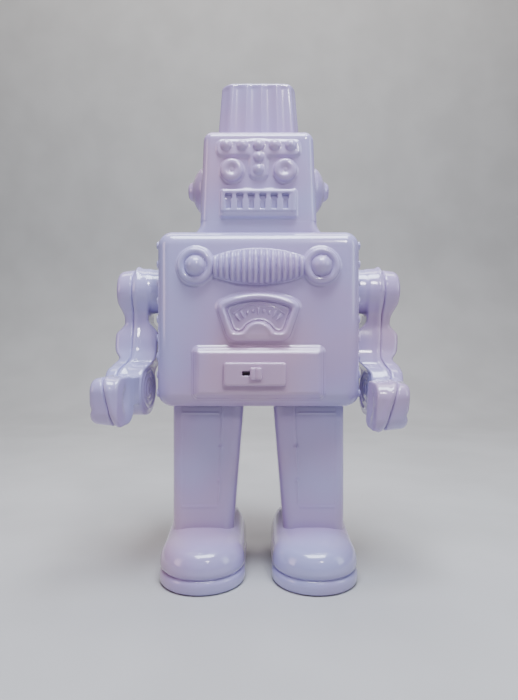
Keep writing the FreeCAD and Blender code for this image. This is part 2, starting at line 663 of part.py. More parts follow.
def gear_frame():
    """Two side plates joined by a web, which carries the axle, the crank shaft, the gears and the motor."""
    outside = box(("-frame_x", "frame_x"), ("frame_front", "box_front"), ("frame_low", "frame_top"))
    inside = box(("-frame_x + frame_t", "frame_x - frame_t"), ("frame_front - 1", "box_front - frame_t"),
                 ("frame_low - 1", "frame_top + 1"))
    crank, second, first, motor = gear_centres()
    holes = [
        rod("x", "axle_rad", (-30, 30), (0, "hip_z")),
        rod("x", "shaft_rad + 0.5 + run_fit", (-30, 30), crank),
        rod("x", "shaft_rad + run_fit", (-30, 30), second),
        rod("x", "shaft_rad + run_fit", (-30, 30), first),
        rod("x", 2, (-30, 0), motor),
    ]
    return subpart("gear_frame", cut(outside, inside, *holes))


def hip_axle():
    subpart("hip_axle", rod("x", "axle_rad", (-44, 44), (0, "hip_z")))
    clips = []
    for x0 in (-41, 40):
        bore = rod("x", "axle_rad", (x0 - 1, x0 + 2), (0, "hip_z"))
        clips.append(cut(rod("x", 5, (x0, x0 + 1), (0, "hip_z")), bore))
    subpart("axle_clips", group(*clips))


def motor():
    centre = gear_centres()[3]
    can = rod("x", "motor_rad", ("-frame_x - motor_l", "-frame_x"), centre)
    tail = rod("x", 4, ("-frame_x - motor_l - 2", "-frame_x - motor_l"), centre)
    bore = rod("x", 1.3, ("-frame_x - 3", "1 - frame_x"), centre)
    return subpart("motor", cut(fuse(can, tail), bore))


# ---------------------------------------------------------------- batteries
def battery_box():
    back = "torso_d / 2 - wall"
    outside = box(("-box_w / 2", "box_w / 2"), ("box_front", back), ("box_z", "box_z + box_h"))
    inside = box(("-box_w / 2 + box_t", "box_w / 2 - box_t"), ("box_front + box_t", f"{back} + 1"),
                 ("box_z + box_t", "box_z + box_h - box_t"))
    subpart("battery_box", cut(outside, inside))
    low = "box_z + box_h / 2 - cell_l / 2"
    cells, contacts = [], []
    for i in (-1, 0, 1):
        at = (f"{i} * cell_pitch", "box_front + box_t + cell_rad + 0.2")
        case = rod("z", "cell_rad", (low, f"{low} + cell_l - 1.5"), at)
        nub = rod("z", 2.6, (f"{low} + cell_l - 1.5", f"{low} + cell_l"), at)
        cells.append(fuse(case, nub))
        contacts.append(rod("z", 4.5, ("box_z + box_t", low), at, "Part::Cone", 3))
        contacts.append(rod("z", 4.5, (f"{low} + cell_l", "box_z + box_h - box_t"), at))
    subpart("battery_cells", group(*cells))
    subpart("battery_contacts", group(*contacts))


def battery_door():
    """The back door, which turns on two pins at its foot, with a rib to pull it open by."""
    face = "torso_d / 2"
    plate = box(("-door_w / 2", "door_w / 2"), (f"{face} - wall + 0.2", face), ("door_z", "door_z + door_h"))
    rib = box((-9, 9), (face, f"{face} + 1.2"), ("door_z + door_h - 7", "door_z + door_h - 5"))
    pins = [rod("x", "hinge_rad", span, ("hinge_y", "hinge_z"))
            for span in (("-door_w / 2 - 2", "1 - door_w / 2"), ("door_w / 2 - 1", "door_w / 2 + 2"))]
    return subpart("battery_door", fuse(plate, rib, *pins))


# ---------------------------------------------------------------- leg and foot
def leg_outline(inset, low, high):
    return [
        (f"leg_in_low + {inset}", low), (f"leg_out - {inset}", low),
        (f"leg_out - {inset}", high), (f"leg_in_top + {inset}", high),
    ]


def leg_half(label, back):
    depth = "leg_back" if back else "leg_front"
    outer = block_half(leg_outline("0", "leg_low", "leg_top"), depth, "leg_edge", back, upright)
    outline = leg_outline("wall", "leg_low + wall", "leg_top + 5")
    inner = block_half(outline, f"{depth} - wall", "leg_edge - wall", back, upright)
    return subpart(label, cut(outer, inner))


def stadium(low, high, inset, radius):
    """A block with half-round toe and heel, the plan of the foot."""
    body = doc.addObject("PartDesign::Body", "foot")
    sketch = body.newObject("Sketcher::SketchObject", "plan")
    sketch.AttachmentSupport = [(origin_feature(body, "XY_Plane"), "")]
    sketch.MapMode = "FlatFace"
    middle, half = size("foot_x"), size("foot_w") / 2 - inset
    front, rear = size("toe_y") + size("foot_w") / 2, size("heel_y") - size("foot_w") / 2
    places = [(half, front), (half, rear), (-half, rear), (-half, front)]
    corners = [Vector(middle + x, y) for x, y in places]
    sketch.addGeometry(Part.LineSegment(corners[0], corners[1]))
    sketch.addGeometry(Part.Arc(corners[1], Vector(middle, rear + half), corners[2]))
    sketch.addGeometry(Part.LineSegment(corners[2], corners[3]))
    sketch.addGeometry(Part.Arc(corners[3], Vector(middle, front - half), corners[0]))
    for i in range(3):
        sketch.addConstraint(Sketcher.Constraint("Coincident", i, 2, i + 1, 1))
    sketch.addConstraint(Sketcher.Constraint("Coincident", 3, 2, 0, 1))
    for line, end, side in ((0, 1, 1), (0, 2, 1), (2, 1, -1), (2, 2, -1)):
        index = sketch.addConstraint(Sketcher.Constraint("DistanceX", -1, 1, line, end, middle + side * half))
        sketch.setExpression(f"Constraints[{index}]", formula(f"foot_x + {side} * (foot_w / 2 - {inset})"))
    for line, end, text, value in ((0, 1, "toe_y + foot_w / 2", front), (0, 2, "heel_y - foot_w / 2", rear),
                                   (2, 1, "heel_y - foot_w / 2", rear), (2, 2, "toe_y + foot_w / 2", front)):
        index = sketch.addConstraint(Sketcher.Constraint("DistanceY", -1, 1, line, end, value))
        sketch.setExpression(f"Constraints[{index}]", formula(text))
    for arc, text, value in ((1, "heel_y - foot_w / 2", rear), (3, "toe_y + foot_w / 2", front)):
        index = sketch.addConstraint(Sketcher.Constraint("DistanceY", -1, 1, arc, 3, value))
        sketch.setExpression(f"Constraints[{index}]", formula(text))
    feature = pad(body, sketch, f"({high}) - ({low})")
    if radius:
        fillet(body, feature, radius, lambda edge: edge.BoundBox.ZMin > 0.5)
    move(body, 0, 0, low)
    return body


def roller_windows(grow, low, high):
    windows = []
    for y in ("front_roller_y", "rear_roller_y"):
        for side in (-1, 1):
            centre = f"foot_x + {side} * roller_x"
            across = (f"{centre} - roller_w / 2 - {grow}", f"{centre} + roller_w / 2 + {grow}")
            along = (f"{y} - roller_rad - {grow} - 0.4", f"{y} + roller_rad + {grow} + 0.4")
            windows.append(box(across, along, (low, high)))
    return windows


def foot():
    hollow = stadium("sole_t", "leg_low - 2.4", 2.6, 0)
    well = block_half(leg_outline("0", "leg_low", "leg_top"), "leg_front", "leg_edge", False, upright)
    well_back = block_half(leg_outline("0", "leg_low", "leg_top"), "leg_back", "leg_edge", True, upright)
    shoe = cut(stadium("sole_t", "shoe_top", 0, "shoe_edge"), hollow, well, well_back)
    axle_holes = [rod("x", "shaft_rad + run_fit", ("foot_x - 30", "foot_x + 30"), (y, "roller_rad"))
                  for y in ("front_roller_y", "rear_roller_y")]
    sole = cut(stadium("0", "sole_t", 0, 0), *roller_windows(0.6, -1, "sole_t + 1"), *axle_holes)
    return subpart("left_shoe", shoe), subpart("left_sole", sole)


def rollers(label, y):
    wheels = []
    for side in (-1, 1):
        centre = f"foot_x + {side} * roller_x"
        span = (f"{centre} - roller_w / 2", f"{centre} + roller_w / 2")
        wheels.append(rod("x", "roller_rad", span, (y, "roller_rad")))
    axle = rod("x", "shaft_rad", ("foot_x - 18", "foot_x + 18"), (y, "roller_rad"))
    return subpart(label, fuse(axle, *wheels))


def leg_yoke():
    """The steel plate that carries the leg: hip hub, crank window and the pin that drives the arm."""
    x = ("yoke_x", "yoke_x + yoke_t")
    plate = box(x, ("-yoke_w / 2", "yoke_w / 2"), ("yoke_low", "crank_z + window / 2 + 3"))
    tab = box(x, (-4, 4), ("crank_z", "yoke_top"))
    hub = rod("x", "axle_rad + 3", ("yoke_x - 4", "yoke_x + 9"), (0, "hip_z"))
    bore = rod("x", "axle_rad + run_fit", ("yoke_x - 5", "yoke_x + 10"), (0, "hip_z"))
    height = ("crank_z - window / 2", "crank_z + window / 2")
    gap = box(("yoke_x - 1", "yoke_x + yoke_t + 1"), ("-window / 2", "window / 2"), height)
    pin = rod("x", "crank_pin_rad", ("yoke_x + yoke_t", "yoke_x + yoke_t + 5"), (0, "drive_pin_z"))
    foot_block = box(("yoke_x + yoke_t", "leg_out - wall"), (-12, 12), ("yoke_low", "leg_top - 6"))
    return subpart("left_leg_yoke", fuse(cut(fuse(plate, tab, hub), bore, gap), pin, foot_block))


# ---------------------------------------------------------------- arm
def bar(start, end, width, x):
    """A straight bar between two points of the side view, (y, z) aliases, on the (low, high) span along X."""
    piece = doc.addObject("Part::Box", "bar")
    y0, z0, y1, z1 = size(start[0]), size(start[1]), size(end[0]), size(end[1])
    length = math.hypot(y1 - y0, z1 - z0)
    angle = math.degrees(math.atan2(z1 - z0, y1 - y0))
    piece.Placement = Placement(Vector(), Rotation(Vector(1, 0, 0), angle))
    bind(piece, Length=f"({x[1]}) - ({x[0]})", Width=length, Height=width)
    lift = math.radians(angle + 90)
    half = f"({width}) / 2"
    return move(piece, x[0], f"{start[0]} - {half} * {math.cos(lift)}", f"{start[1]} - {half} * {math.sin(lift)}")


def arm_solid(x, inset):
    """The arm's side view as one solid: shoulder, elbow and wrist rounds, the claw and the bars between them."""
    rounds = [("0", "shoulder_z", "shoulder_rad"), ("elbow_y", "elbow_z", "elbow_rad"),
              ("wrist_y", "wrist_z", "wrist_rad"), ("claw_y", "claw_z", "claw_rad")]
    pieces = [rod("x", f"{radius} - {inset}", x, (y, z)) for y, z, radius in rounds]
    pieces.append(box(x, (f"-9 + {inset}", f"9 - {inset}"), ("elbow_z", "shoulder_z")))
    pieces.append(bar(("elbow_y", "elbow_z"), ("wrist_y", "wrist_z"), f"22 - 2 * {inset}", x))
    pieces.append(bar(("wrist_y", "wrist_z"), ("claw_y", "claw_z"), f"19 - 2 * {inset}", x))
    return fuse(*pieces)


def jaw_lines():
    """Shallow grooves round the claw's front, where its two jaws meet."""
    front, height = "claw_y - claw_rad", ("claw_z - jaw_line / 2", "claw_z + jaw_line / 2")
    outer, inner = "arm_mid_x + arm_half_t", "arm_mid_x - arm_half_t"
    return [
        box((f"{outer} - jaw_depth", f"{outer} + 1"), (f"{front} - 1", "claw_y + 4"), height),
        box((f"{inner} - 1", f"{inner} + jaw_depth"), (f"{front} - 1", "claw_y + 4"), height),
        box((f"{inner} - 1", f"{outer} + 1"), (f"{front} - 1", f"{front} + jaw_depth"), height),
    ]


def wrist_rings():
    """Raised rings round the wrist's pivot on the arm's inner face."""
    face = "arm_mid_x - arm_half_t"
    rings = []
    for radius, hole in (("wrist_rad - 1.5", "wrist_rad - 3.5"), ("wrist_rad / 2", "wrist_rad / 2 - 1.6")):
        rings.append(cut(rod("x", radius, (f"{face} - ring_rise", face), ("wrist_y", "wrist_z")),
                         rod("x", hole, (f"{face} - ring_rise - 1", f"{face} + 1"), ("wrist_y", "wrist_z"))))
    rings.append(rod("x", 2.6, (f"{face} - ring_rise", face), ("wrist_y", "wrist_z")))
    return rings


def arm():
    mid, outer, inner = "arm_mid_x", "arm_mid_x + arm_half_t", "arm_mid_x - arm_half_t"
    hollow_out = arm_solid((mid, f"{outer} - arm_wall"), "arm_wall")
    subpart("left_arm_outer_shell", cut(arm_solid((mid, outer), "0"), hollow_out, *jaw_lines()))
    hollow_in = arm_solid((f"{inner} + arm_wall", mid), "arm_wall")
    dimples = [rod("x", "dimple_rad", (f"{inner} - 1", f"{inner} + jaw_depth"), ("claw_y + 14", f"claw_z {step}"))
               for step in ("+ 4", "- 4")]
    sleeve = rod("x", "shoulder_rad", ("sleeve_in", inner), (0, "shoulder_z"))
    shaft_hole = rod("x", "axle_rad", ("sleeve_in - 1", f"{mid} - 2"), (0, "shoulder_z"))
    half = cut(arm_solid((inner, mid), "0"), hollow_in, *jaw_lines(), *dimples)
    subpart("left_arm_inner_shell", cut(fuse(half, sleeve, *wrist_rings()), shaft_hole))


def arm_lever():
    """The shoulder shaft and, inside the torso, the slotted lever that the leg yoke drives."""
    x = ("yoke_x + yoke_t + 1.5", "yoke_x + 2 * yoke_t + 1.5")
    shaft = rod("x", "axle_rad", (x[0], "arm_mid_x - arm_half_t + 1.8"), (0, "shoulder_z"))
    plate = box(x, (-5, 5), ("drive_pin_z - 6.5", "shoulder_z"))
    eye = rod("x", 6, x, (0, "shoulder_z"))
    width = ("-crank_pin_rad - 0.35", "crank_pin_rad + 0.35")
    slot = box(("yoke_x", "yoke_x + 9"), width, ("drive_pin_z - 4", "drive_pin_z + 4"))
    return subpart("left_arm_lever", fuse(cut(fuse(plate, eye), slot), shaft))


def shoulder_bushings():
    rings = []
    for side in (-1, 1):
        ends = (f"{side} * (torso_w / 2 - wall - 3)", f"{side} * (torso_w / 2 + 0.4)")
        span = ends if side > 0 else ends[::-1]
        ring = rod("x", "axle_rad + 4.2", span, (0, "shoulder_z"))
        bore = rod("x", "axle_rad + run_fit", (f"{span[0]} - 1", f"{span[1]} + 1"), (0, "shoulder_z"))
        rings.append(cut(ring, bore))
    return subpart("shoulder_bushings", group(*rings))


# ---------------------------------------------------------------- the whole robot
def build():
    torso_front_shell()
    torso_back_shell()
    shell_screws()
    side_rivets()
    neck_collar()
    head_half("head_front_shell", False)
    head_half("head_back_shell", True)
    hat_cap()
    subpart("ear_discs", group(ear(-1), ear(1)))
    subpart("ear_knobs", group(ear_knob(-1), ear_knob(1)))
    lamp()
    brow_plate()
    eye_rings()
    eye_lenses()
    mouth_grille()
    chest_lamps()
    chest_grille()
    gauge()
    control_panel()
    switch_plate()
    switch()
    drive_train()
    gear_frame()
    hip_axle()
    motor()
    battery_box()
    battery_door()
    shoulder_bushings()
    first_of_side = len(SUBPARTS)
    leg_half("left_leg_front_shell", False)
    leg_half("left_leg_back_shell", True)
    foot()
    rollers("left_front_rollers", "front_roller_y")
    rollers("left_rear_rollers", "rear_roller_y")
    leg_yoke()
    arm()
    arm_lever()
    for piece in SUBPARTS[first_of_side:]:
        mirrored(piece.Label.replace("left_", "right_"), piece)
    doc.recompute()


def write():
    broken = [o.Label for o in doc.Objects if "Invalid" in o.State or "Error" in o.State]
    if broken:
        raise RuntimeError(f"these objects failed: {broken}")
    shapes = {piece.Label: piece.Shape for piece in SUBPARTS}
    empty = [name for name, shape in shapes.items() if shape.isNull() or not shape.isValid() or not shape.Solids]
    if empty:
        raise RuntimeError(f"these sub-parts have no valid solid: {empty}")
    os.makedirs("parts", exist_ok=True)
    for name, shape in shapes.items():
        shape.exportStep(f"parts/{name}.step")
    print(f"{len(SUBPARTS)} sub-parts written")


build()
write()
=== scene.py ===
"""Walking toy robot: the finished look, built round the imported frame.

Each casing part is the zero surface of a formula in millimetres, meshed with a surface net. Places come from
the CAD nodes' boxes. The robot faces -Y and its left side is at +X.
"""

import json
import math

import bpy
import numpy as np
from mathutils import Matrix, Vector


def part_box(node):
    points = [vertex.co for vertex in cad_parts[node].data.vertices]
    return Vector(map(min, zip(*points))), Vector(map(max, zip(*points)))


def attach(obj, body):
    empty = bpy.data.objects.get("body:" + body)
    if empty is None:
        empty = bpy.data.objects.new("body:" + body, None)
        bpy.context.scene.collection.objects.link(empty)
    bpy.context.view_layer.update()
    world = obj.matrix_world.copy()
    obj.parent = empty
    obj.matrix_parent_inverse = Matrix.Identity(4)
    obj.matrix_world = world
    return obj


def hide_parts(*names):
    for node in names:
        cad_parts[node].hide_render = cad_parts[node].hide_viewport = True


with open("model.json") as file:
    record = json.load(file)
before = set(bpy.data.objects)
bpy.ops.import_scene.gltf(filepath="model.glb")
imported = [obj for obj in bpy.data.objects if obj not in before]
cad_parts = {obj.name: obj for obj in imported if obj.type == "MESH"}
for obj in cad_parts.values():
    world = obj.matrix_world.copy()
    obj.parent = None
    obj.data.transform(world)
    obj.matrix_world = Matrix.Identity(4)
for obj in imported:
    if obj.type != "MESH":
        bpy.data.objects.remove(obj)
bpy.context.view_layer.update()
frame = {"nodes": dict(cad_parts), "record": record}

MM = 0.001


def box_mm(node):
    """A CAD node's lowest and highest corners, in millimetres."""
    low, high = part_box(node)
    return np.array(low) / MM, np.array(high) / MM


# ---------------------------------------------------------------- formulas
def smin(a, b, k):
    """Union of two shapes, blended over k."""
    h = np.maximum(k - np.abs(a - b), 0) / k
    return np.minimum(a, b) - h * h * k / 4


def smax(a, b, k):
    """Overlap of two shapes, with its edge rounded over k."""
    return -smin(-a, -b, k)


def length(*parts):
    return np.sqrt(sum(p * p for p in parts))


def rect(x, z, half_x, half_z, r):
    """Distance to a rounded rectangle."""
    u, v = np.abs(x) - half_x + r, np.abs(z) - half_z + r
    return length(np.maximum(u, 0), np.maximum(v, 0)) + np.minimum(np.maximum(u, v), 0) - r


def block(x, y, z, half_x, half_y, half_z, r):
    """Distance to a rounded block."""
    u, v, w = np.abs(x) - half_x + r, np.abs(y) - half_y + r, np.abs(z) - half_z + r
    outside = length(np.maximum(u, 0), np.maximum(v, 0), np.maximum(w, 0))
    return outside + np.minimum(np.maximum(np.maximum(u, v), w), 0) - r


def segment(u, v, start, end, r):
    """Distance to a bar with round ends."""
    du, dv = end[0] - start[0], end[1] - start[1]
    t = np.clip(((u - start[0]) * du + (v - start[1]) * dv) / (du * du + dv * dv), 0, 1)
    return length(u - start[0] - t * du, v - start[1] - t * dv) - r


def bump(u, width):
    return np.exp(-((u / width) ** 2))


def rise(t):
    """A soft step from 0 to 1."""
    t = np.clip(t, 0, 1)
    return t * t * (3 - 2 * t)


# ---------------------------------------------------------------- meshing
def surface_net(shape, low, high, step):
    """Vertices and quads of shape's zero surface inside a box."""
    axes = [np.arange(a - step, b + 2 * step, step) for a, b in zip(low, high)]
    value = shape(*np.meshgrid(*axes, indexing="ij"))
    inside = value < 0
    cells = tuple(n - 1 for n in value.shape)
    corner = [(i, j, k) for i in (0, 1) for j in (0, 1) for k in (0, 1)]

    def at(array, c):
        return array[tuple(slice(o, o + n) for o, n in zip(c, cells))]

    count = sum(at(inside, c).astype(np.int8) for c in corner)
    where = np.nonzero((count > 0) & (count < 8))
    total, crossings = np.zeros((len(where[0]), 3)), np.zeros(len(where[0]))
    for a in corner:
        for axis in range(3):
            if a[axis]:
                continue
            b = tuple(1 if i == axis else o for i, o in enumerate(a))
            va, vb = at(value, a)[where], at(value, b)[where]
            hit = (va < 0) != (vb < 0)
            t = np.where(hit, va / np.where(hit, va - vb, 1), 0)
            for i in range(3):
                total[:, i] += np.where(hit, a[i] + (t if i == axis else 0), 0)
            crossings += hit
    verts = (total / crossings[:, None] + np.stack(where, 1)) * step + [a[0] for a in axes]
    number = np.full(cells, -1, np.int64)
    number[where] = np.arange(len(verts))
    quads = []
    for axis in range(3):
        u, v = [i for i in range(3) if i != axis]
        here = [slice(None)] * 3
        there = [slice(None)] * 3
        here[axis], there[axis] = slice(0, -1), slice(1, None)
        for i in (u, v):
            here[i] = there[i] = slice(1, -1)
        a, b = inside[tuple(here)], inside[tuple(there)]
        spot = np.stack(np.nonzero(a != b), 1)
        first = a[tuple(spot.T)]
        spot[:, [u, v]] += 1
        ring = []
        for du, dv in ((0, 0), (1, 0), (1, 1), (0, 1)):
            cell = spot.copy()
            cell[:, u] -= du
            cell[:, v] -= dv
            ring.append(number[tuple(cell.T)])
        ring = np.stack(ring, 1)
        flip = first if axis != 1 else ~first
        ring[~flip] = ring[~flip][:, ::-1]
        quads.append(ring)
    return verts, np.concatenate(quads)


def settle(shape, verts, quads, step, rounds=3):
    """Evens out the net and puts its vertices exactly on the surface."""
    edges = np.concatenate([quads[:, [0, 1]], quads[:, [1, 2]], quads[:, [2, 3]], quads[:, [3, 0]]])
    ends, starts = np.concatenate([edges[:, 0], edges[:, 1]]), np.concatenate([edges[:, 1], edges[:, 0]])
    degree = np.bincount(ends, minlength=len(verts))
    small = step * 0.1
    for turn in range(rounds):
        if turn < rounds - 1:
            mean = np.stack([np.bincount(ends, verts[starts, i], len(verts)) for i in range(3)], 1) / degree[:, None]
            verts = verts + (mean - verts) * 0.5
        for _ in range(2):
            value = shape(*verts.T)
            slope = np.stack([
                (shape(*(verts + offset).T) - shape(*(verts - offset).T)) / (2 * small)
                for offset in np.eye(3) * small
            ], 1)
            move = value / np.maximum((slope ** 2).sum(1), 0.05)
            move = np.clip(move, -step, step)[:, None] * slope
            verts = verts - np.clip(move, -step, step)
    return verts


def solid(name, shape, low, high, step, body, nodes, slot="pearl_shell", sharp=50):
    """Meshes a formula and puts it on a body in place of CAD nodes."""
    verts, quads = surface_net(shape, low, high, step)
    verts = settle(shape, verts, quads, step)
    mesh = bpy.data.meshes.new(name)
    mesh.from_pydata((verts * MM).tolist(), [], quads.tolist())
    mesh.update()
    mesh.shade_smooth()
    mesh.set_sharp_from_angle(angle=math.radians(sharp))
    piece = bpy.data.objects.new(name, mesh)
    bpy.context.scene.collection.objects.link(piece)
    mesh.materials.append(MATERIALS[slot])
    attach(piece, body)
    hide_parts(*([nodes] if isinstance(nodes, str) else nodes))
    return piece


# ---------------------------------------------------------------- materials
def ramp(tree, source, stops):
    node = tree.nodes.new("ShaderNodeValToRGB")
    node.color_ramp.elements[0].position, node.color_ramp.elements[0].color = stops[0][0], (*stops[0][1], 1)
    node.color_ramp.elements[1].position, node.color_ramp.elements[1].color = stops[-1][0], (*stops[-1][1], 1)
    for place, colour in stops[1:-1]:
        node.color_ramp.elements.new(place).color = (*colour, 1)
    tree.links.new(source, node.inputs["Fac"])
    return node.outputs["Color"]


def noise(tree, scale, detail=2.0):
    where = tree.nodes.new("ShaderNodeTexCoord")
    node = tree.nodes.new("ShaderNodeTexNoise")
    node.inputs["Scale"].default_value = scale
    node.inputs["Detail"].default_value = detail
    tree.links.new(where.outputs["Object"], node.inputs["Vector"])
    return node.outputs["Fac"]


def bumped(tree, shader, height, strength, distance):
    node = tree.nodes.new("ShaderNodeBump")
    node.inputs["Strength"].default_value = strength
    node.inputs["Distance"].default_value = distance
    tree.links.new(height, node.inputs["Height"])
    tree.links.new(node.outputs["Normal"], shader.inputs["Normal"])


def new_material(name, colours, roughness, wave=(40.0, 0.1, 0.0004), **sockets):
    """Colours vary softly over the surface. Other sockets are constants on the shader."""
    material = bpy.data.materials.new(name)
    material.use_nodes = True
    tree = material.node_tree
    shader = tree.nodes["Principled BSDF"]
    stops = [(0.36 + 0.28 * i / (len(colours) - 1), colour) for i, colour in enumerate(colours)]
    tree.links.new(ramp(tree, noise(tree, 11.0), stops), shader.inputs["Base Color"])
    fine = tree.nodes.new("ShaderNodeMapRange")
    fine.inputs["To Min"].default_value, fine.inputs["To Max"].default_value = roughness
    tree.links.new(noise(tree, 120.0, 4.0), fine.inputs["Value"])
    tree.links.new(fine.outputs["Result"], shader.inputs["Roughness"])
    bumped(tree, shader, noise(tree, wave[0]), wave[1], wave[2])
    for key, value in sockets.items():
        shader.inputs[key.replace("_", " ")].default_value = value
    return material


MATERIALS = {
    "pearl_shell": new_material(
        "pearl_shell", [(0.52, 0.36, 0.53), (0.46, 0.36, 0.62), (0.42, 0.41, 0.70)], (0.13, 0.22),
        (28.0, 0.35, 0.0006),
        Coat_Weight=0.7, Coat_Roughness=0.03, Coat_IOR=1.5,
    ),
    "zinc_steel": new_material("zinc_steel", [(0.55, 0.56, 0.58), (0.62, 0.62, 0.60)], (0.28, 0.42), Metallic=1.0),
    "bright_steel": new_material("bright_steel", [(0.58, 0.58, 0.60), (0.66, 0.66, 0.66)], (0.15, 0.3), Metallic=1.0),
    "plate_steel": new_material("plate_steel", [(0.46, 0.47, 0.50), (0.54, 0.54, 0.54)], (0.3, 0.5), Metallic=1.0),
    "roller_rubber": new_material("roller_rubber", [(0.03, 0.03, 0.032), (0.05, 0.05, 0.052)], (0.6, 0.8)),
    "gear_plastic": new_material("gear_plastic", [(0.70, 0.68, 0.60), (0.76, 0.74, 0.68)], (0.35, 0.5)),
    "black_plastic": new_material("black_plastic", [(0.018, 0.018, 0.02), (0.03, 0.03, 0.033)], (0.35, 0.5)),
    "cell_jacket": new_material("cell_jacket", [(0.03, 0.08, 0.20), (0.05, 0.11, 0.25)], (0.25, 0.35)),
    "brass": new_material("brass", [(0.70, 0.50, 0.22), (0.78, 0.58, 0.28)], (0.25, 0.4), Metallic=1.0),
    "bulb_glass": new_material(
        "bulb_glass", [(0.95, 0.93, 0.88), (0.98, 0.97, 0.94)], (0.02, 0.05), Transmission_Weight=0.9,
    ),
}

for row in frame["record"]["subparts"]:
    node = frame["nodes"][row["node"]]
    node.data.materials.clear()
    node.data.materials.append(MATERIALS[row["material_slot"]])


# ---------------------------------------------------------------- main places
torso_low, torso_high = box_mm("torso_front_shell")
back_low, back_high = box_mm("torso_back_shell")
MID_Y = torso_high[1]
TORSO_HALF = np.array([torso_high[0], MID_Y - torso_low[1], (torso_high[2] - torso_low[2]) / 2])
TORSO_Z = (torso_high[2] + torso_low[2]) / 2
CHEST = torso_low[1]
WALL = 2.2
PILLOW = 0.9


def swell(x, z):
    """How far the chest bows out past its flat plane."""
    across, up = np.clip(x / TORSO_HALF[0], -1, 1), np.clip((z - TORSO_Z) / TORSO_HALF[2], -1, 1)
    return PILLOW * (1 - across ** 2) * (1 - up ** 2)


# ---------------------------------------------------------------- torso
def torso_outer(x, y, z):
    return block(x, y - MID_Y, z - TORSO_Z, *TORSO_HALF, 9.0) - swell(x, z) * (np.abs(y - MID_Y) / TORSO_HALF[1]) ** 4


def torso_shell(x, y, z):
    inner = block(x, y - MID_Y, z - TORSO_Z, *(TORSO_HALF - WALL), 7.0)
    shell = smax(torso_outer(x, y, z), -inner, 0.6)
    leg_low, leg_high = box_mm("left_leg_front_shell")
    leg_x, leg_half = (leg_low[0] + leg_high[0]) / 2, (leg_high[0] - leg_low[0]) / 2 + 1.5
    opening = np.maximum(rect(np.abs(x) - leg_x, y - MID_Y + 1, leg_half, 26.0, 5.0), z - torso_low[2] - WALL - 3)
    shaft = np.maximum(length(y - MID_Y, z - SHOULDER[1]) - 7.2, TORSO_HALF[0] - 12 - np.abs(x))
    return smax(smax(shell, -opening, 0.8), -shaft, 0.4)


arm_low, arm_high = box_mm("left_arm_outer_shell")
SHOULDER = (MID_Y, box_mm("left_arm_lever")[1][2] - 6.0)


def make_torso():
    def front(x, y, z):
        return smax(torso_shell(x, y, z), y - MID_Y, 0.5)

    def back(x, y, z):
        door_low, door_high = box_mm("battery_door")
        middle, half = (door_low + door_high) / 2, (door_high - door_low) / 2
        hole = np.maximum(rect(x, z - middle[2], half[0] - 2 + 0.3, half[2] + 0.3, 1.0), MID_Y + 20 - y)
        shell = smax(torso_shell(x, y, z), -hole, 0.6)
        for sx in (-1, 1):
            for height in SCREW_HEIGHTS:
                sink = np.maximum(length(x - sx * SCREW_X, z - height) - 3.4, back_high[1] - 3 - y)
                shell = smax(shell, -sink, 0.5)
        return smax(shell, MID_Y - y, 0.5)

    solid("torso_front", front, torso_low - [0, 2, 0], torso_high, 1.0, "torso", "torso_front_shell")
    solid("torso_back", back, back_low, back_high + [0, 2, 0], 1.0, "torso", "torso_back_shell")


screw_low, screw_high = box_mm("shell_screws")
SCREW_X = screw_high[0] - 3.1
SCREW_HEIGHTS = (screw_low[2] + 3.1, screw_high[2] - 3.1)


# ---------------------------------------------------------------- relief on a flat face
def relief(name, outline, face, height, low, high, step, body, nodes, edge=1.6, foot=1.2, carve=None, bow=swell):
    """A raised form on a face that looks along -Y: an outline, a rounded rim and a fillet at its foot."""
    def shape(x, y, z):
        out = face - y - (bow(x, z) if bow else 0)
        flare = foot * (1 - np.clip(out / foot, 0, 1)) ** 2
        form = smax(outline(x, z) - flare, out - height(x, z), edge)
        if carve is not None:
            form = carve(form, x, out, z)
        return np.maximum(form, -1.2 - out)

    near, far = (low[0] - 2, face - high[1] - 3, low[2] - 2), (high[0] + 2, face + 2, high[2] + 2)
    return solid(name, shape, near, far, step, body, nodes)


def relief_box(node):
    """A CAD node's low and high corners with depths counted from 0, its middle and its half sizes."""
    low, high = box_mm(node)
    return (low[0], 0, low[2]), (high[0], high[1] - low[1], high[2]), (low + high) / 2, (high - low) / 2


def make_lamp(name, side):
    low, high = box_mm("chest_lamp_bezels")
    radius = (high[2] - low[2]) / 2
    cx, cz = side * (high[0] - radius), (high[2] + low[2]) / 2

    def profile(x, z):
        r = length(x - cx, z - cz)
        ring = 3.8 * np.clip(1 - ((r - 8.5) / 2.7) ** 2, 0, 1) ** 0.5
        dome = 7.6 * np.clip(1 - (r / 6.4) ** 2, 0, 1) ** 0.5
        return smax(smax(ring, dome, 2.4), 1.8 + 0 * r, 1.2)

    relief(name, lambda x, z: length(x - cx, z - cz) - radius, CHEST, profile,
           (cx - radius, 0, cz - radius), (cx + radius, 8, cz + radius), 0.5, "torso",
           ["chest_lamp_bezels", "chest_lamp_lenses"], edge=1.4, foot=1.4)


